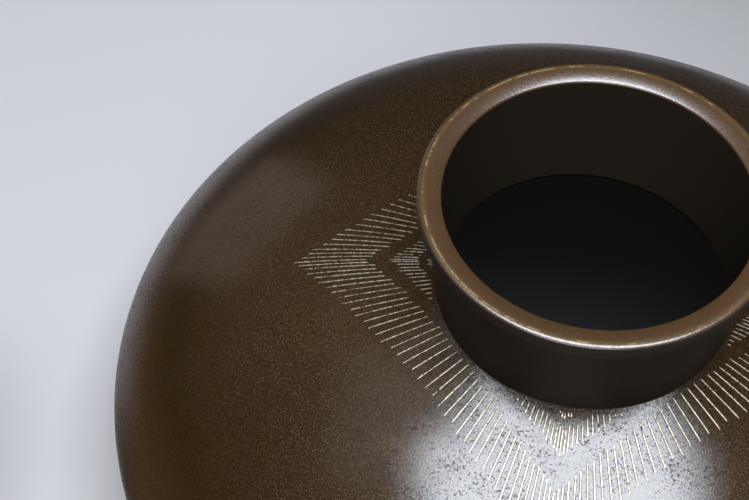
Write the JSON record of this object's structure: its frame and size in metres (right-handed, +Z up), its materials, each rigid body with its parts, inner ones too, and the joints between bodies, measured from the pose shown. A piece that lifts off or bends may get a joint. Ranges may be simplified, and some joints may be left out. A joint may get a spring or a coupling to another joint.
{
  "type": "bronze flower vase",
  "caption": "Squat bronze flower vase: wide lens-shaped hollow body on a low foot ring, short straight collar neck with a thick lip, fine inlaid wires radiating on the shoulder.",
  "frame": {"origin": "centre of the foot ring on the surface that the vase stands on", "axes": "+Z up along the vase's axis; +X and +Y each pass through one corner of the wire pattern"},
  "size_m": [0.26, 0.26, 0.132],
  "materials": {
    "patinated_bronze": "dark brown patina over cast bronze, fine pale grain, semi-gloss",
    "rubbed_bronze": "dark brown patina, smooth, rubbed to golden metal along the lip",
    "raw_bronze": "dull dark brown, unpolished underside",
    "inlay_metal": "pale gold-silver wire, bright, worn in places"
  },
  "bodies": {
    "root": {"body_casting": "patinated_bronze", "neck_collar": "rubbed_bronze", "base_plate": "raw_bronze", "inlay_wire_east_1": "inlay_metal", "inlay_wire_east_2": "inlay_metal", "inlay_wire_east_3": "inlay_metal", "inlay_wire_east_4": "inlay_metal", "inlay_wire_east_5": "inlay_metal", "inlay_wire_east_6": "inlay_metal", "inlay_wire_east_7": "inlay_metal", "inlay_wire_east_8": "inlay_metal", "inlay_wire_east_9": "inlay_metal", "inlay_wire_east_10": "inlay_metal", "inlay_wire_east_11": "inlay_metal", "inlay_wire_east_12": "inlay_metal", "inlay_wire_east_13": "inlay_metal", "inlay_wire_north_1": "inlay_metal", "inlay_wire_north_2": "inlay_metal", "inlay_wire_north_3": "inlay_metal", "inlay_wire_north_4": "inlay_metal", "inlay_wire_north_5": "inlay_metal", "inlay_wire_north_6": "inlay_metal", "inlay_wire_north_7": "inlay_metal", "inlay_wire_north_8": "inlay_metal", "inlay_wire_north_9": "inlay_metal", "inlay_wire_north_10": "inlay_metal", "inlay_wire_north_11": "inlay_metal", "inlay_wire_north_12": "inlay_metal", "inlay_wire_north_13": "inlay_metal", "inlay_wire_west_1": "inlay_metal", "inlay_wire_west_2": "inlay_metal", "inlay_wire_west_3": "inlay_metal", "inlay_wire_west_4": "inlay_metal", "inlay_wire_west_5": "inlay_metal", "inlay_wire_west_6": "inlay_metal", "inlay_wire_west_7": "inlay_metal", "inlay_wire_west_8": "inlay_metal", "inlay_wire_west_9": "inlay_metal", "inlay_wire_west_10": "inlay_metal", "inlay_wire_west_11": "inlay_metal", "inlay_wire_west_12": "inlay_metal", "inlay_wire_west_13": "inlay_metal", "inlay_wire_south_1": "inlay_metal", "inlay_wire_south_2": "inlay_metal", "inlay_wire_south_3": "inlay_metal", "inlay_wire_south_4": "inlay_metal", "inlay_wire_south_5": "inlay_metal", "inlay_wire_south_6": "inlay_metal", "inlay_wire_south_7": "inlay_metal", "inlay_wire_south_8": "inlay_metal", "inlay_wire_south_9": "inlay_metal", "inlay_wire_south_10": "inlay_metal", "inlay_wire_south_11": "inlay_metal", "inlay_wire_south_12": "inlay_metal", "inlay_wire_south_13": "inlay_metal"}
  },
  "joints": []
}
